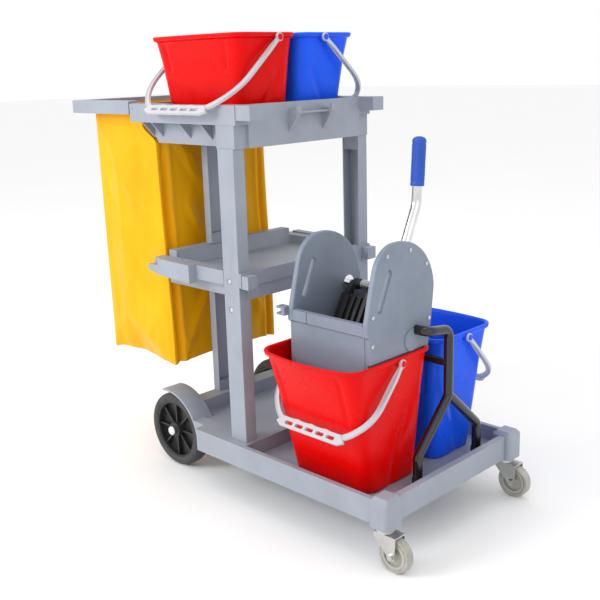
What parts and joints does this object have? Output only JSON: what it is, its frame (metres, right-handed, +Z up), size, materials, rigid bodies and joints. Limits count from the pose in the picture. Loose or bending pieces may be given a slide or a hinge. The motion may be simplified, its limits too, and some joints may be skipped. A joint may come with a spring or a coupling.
{
  "type": "housekeeping cart",
  "caption": "Wheeled cleaning cart with moulded deck, shelf and tray, lift-out buckets with swinging bails, lever wringer on a bent tube frame, and a folding frame holding a waste bag.",
  "frame": {"origin": "middle of the overall box on the floor", "axes": "+X from the bag end to the swivel caster end, +Y across towards the blue buckets, +Z up"},
  "size_m": [1.149, 0.5739, 1.115],
  "materials": {
    "pale_plastic": "light bluish grey moulded structural plastic, fine satin texture",
    "zinc_steel": "zinc plated steel",
    "chrome_trim": "bright chrome plate",
    "tyre_rubber": "dark grey solid rubber",
    "grey_rubber": "beige-grey non-marking rubber",
    "black_rubber": "black rubber",
    "black_plastic": "black moulded plastic",
    "beige_plastic": "beige-grey moulded plastic",
    "yellow_vinyl": "yellow coated vinyl sheet, soft sheen, pleated",
    "red_plastic": "saturated red moulded plastic, satin gloss",
    "blue_plastic": "saturated blue moulded plastic, satin gloss",
    "bail_plastic": "off-white moulded plastic",
    "black_paint": "gloss black powder coat",
    "wringer_plastic": "blue-grey moulded structural plastic",
    "blue_grip": "blue knurled soft plastic"
  },
  "bodies": {
    "base": {"base_deck": "pale_plastic", "rear_axle": "zinc_steel", "axle_caps": "chrome_trim", "caster_mount_near": "zinc_steel", "caster_mount_far": "zinc_steel", "near_post": "pale_plastic", "far_post": "pale_plastic", "rear_post_lower": "pale_plastic", "rear_post_upper": "pale_plastic", "post_screws": "zinc_steel", "middle_shelf": "pale_plastic", "top_tray": "pale_plastic", "bag_hinge_pins": "zinc_steel", "bucket_lower_red": "red_plastic"},
    "rear_wheel_near": {"rear_tyre_near": "tyre_rubber", "rear_hub_near": "black_plastic"},
    "rear_wheel_far": {"rear_tyre_far": "tyre_rubber", "rear_hub_far": "black_plastic"},
    "caster_swivel_near": {"caster_fork_near": "zinc_steel", "caster_bolt_near": "zinc_steel"},
    "caster_swivel_far": {"caster_fork_far": "zinc_steel", "caster_bolt_far": "zinc_steel"},
    "caster_wheel_near": {"caster_tread_near": "grey_rubber", "caster_hub_near": "beige_plastic"},
    "caster_wheel_far": {"caster_tread_far": "grey_rubber", "caster_hub_far": "beige_plastic"},
    "bag_holder": {"bag_frame": "pale_plastic", "waste_bag": "yellow_vinyl"},
    "upper_red_bucket": {"bucket_upper_red": "red_plastic"},
    "upper_red_bail": {"bail_upper_red": "bail_plastic"},
    "upper_blue_bucket": {"bucket_upper_blue": "blue_plastic"},
    "upper_blue_bail": {"bail_upper_blue": "bail_plastic"},
    "lower_blue_bucket": {"bucket_lower_blue": "blue_plastic"},
    "lower_blue_bail": {"bail_lower_blue": "bail_plastic"},
    "lower_red_bail": {"bail_lower_red": "bail_plastic"},
    "wringer": {"bucket_frame": "black_paint", "frame_feet": "black_rubber", "wringer_plate_rear": "wringer_plastic", "wringer_plate_front": "wringer_plastic", "wringer_near_panel": "wringer_plastic", "wringer_far_panel": "wringer_plastic", "wringer_floor": "wringer_plastic", "squeeze_plate": "black_plastic", "tie_rods": "zinc_steel", "plate_screws": "zinc_steel", "shaft_flanges": "chrome_trim", "wringer_clip": "wringer_plastic", "return_spring": "zinc_steel"},
    "lever": {"lever_shaft": "chrome_trim", "lever_tube": "chrome_trim", "lever_grip": "blue_grip", "press_plate": "black_plastic"}
  },
  "joints": [
    {"name": "rear_wheel_near_spin", "type": "hinge", "parent": "base", "child": "rear_wheel_near", "pos_m": [-0.2435, -0.185, 0.1], "axis": [0, 1, 0], "continuous": true},
    {"name": "caster_near_swivel", "type": "hinge", "parent": "base", "child": "caster_swivel_near", "pos_m": [0.5065, -0.232, 0.084], "axis": [0, 0, 1], "continuous": true},
    {"name": "caster_near_spin", "type": "hinge", "parent": "caster_swivel_near", "child": "caster_wheel_near", "pos_m": [0.5345, -0.232, 0.04], "axis": [0, 1, 0], "continuous": true},
    {"name": "rear_wheel_far_spin", "type": "hinge", "parent": "base", "child": "rear_wheel_far", "pos_m": [-0.2435, 0.185, 0.1], "axis": [0, 1, 0], "continuous": true},
    {"name": "caster_far_swivel", "type": "hinge", "parent": "base", "child": "caster_swivel_far", "pos_m": [0.5065, 0.232, 0.084], "axis": [0, 0, 1], "continuous": true},
    {"name": "caster_far_spin", "type": "hinge", "parent": "caster_swivel_far", "child": "caster_wheel_far", "pos_m": [0.5345, 0.232, 0.04], "axis": [0, 1, 0], "continuous": true},
    {"name": "bag_frame_fold", "type": "hinge", "parent": "base", "child": "bag_holder", "pos_m": [-0.2935, 0, 0.948], "axis": [0, 1, 0], "range_deg": [0, 60]},
    {"name": "upper_red_lift", "type": "slide", "parent": "base", "child": "upper_red_bucket", "axis": [0, 0, 1], "range_m": [0, 0.2]},
    {"name": "upper_red_bail_swing", "type": "hinge", "parent": "upper_red_bucket", "child": "upper_red_bail", "pos_m": [-0.0945, -0.075, 1.104], "axis": [-1, 0, 0], "range_deg": [0, 131]},
    {"name": "upper_blue_lift", "type": "slide", "parent": "base", "child": "upper_blue_bucket", "axis": [0, 0, 1], "range_m": [0, 0.2]},
    {"name": "upper_blue_bail_swing", "type": "hinge", "parent": "upper_blue_bucket", "child": "upper_blue_bail", "pos_m": [-0.0945, 0.078, 1.104], "axis": [1, 0, 0], "range_deg": [0, 131]},
    {"name": "lower_blue_lift", "type": "slide", "parent": "base", "child": "lower_blue_bucket", "axis": [0, 0, 1], "range_m": [0, 0.1]},
    {"name": "lower_blue_bail_swing", "type": "hinge", "parent": "lower_blue_bucket", "child": "lower_blue_bail", "pos_m": [0.3115, 0.137, 0.414], "axis": [1, 0, 0], "range_deg": [0, 73]},
    {"name": "lower_red_bail_swing", "type": "hinge", "parent": "base", "child": "lower_red_bail", "pos_m": [0.3115, -0.113, 0.414], "axis": [-1, 0, 0], "range_deg": [0, 88]},
    {"name": "wringer_lift", "type": "slide", "parent": "base", "child": "wringer", "axis": [0, 0, 1], "range_m": [0, 0.32]},
    {"name": "lever_press", "type": "hinge", "parent": "wringer", "child": "lever", "pos_m": [0.3645, -0.03, 0.546], "axis": [-1, 0, 0], "range_deg": [0, 48], "stiffness_Nm_per_rad": 2, "springref_deg": -28.65}
  ]
}
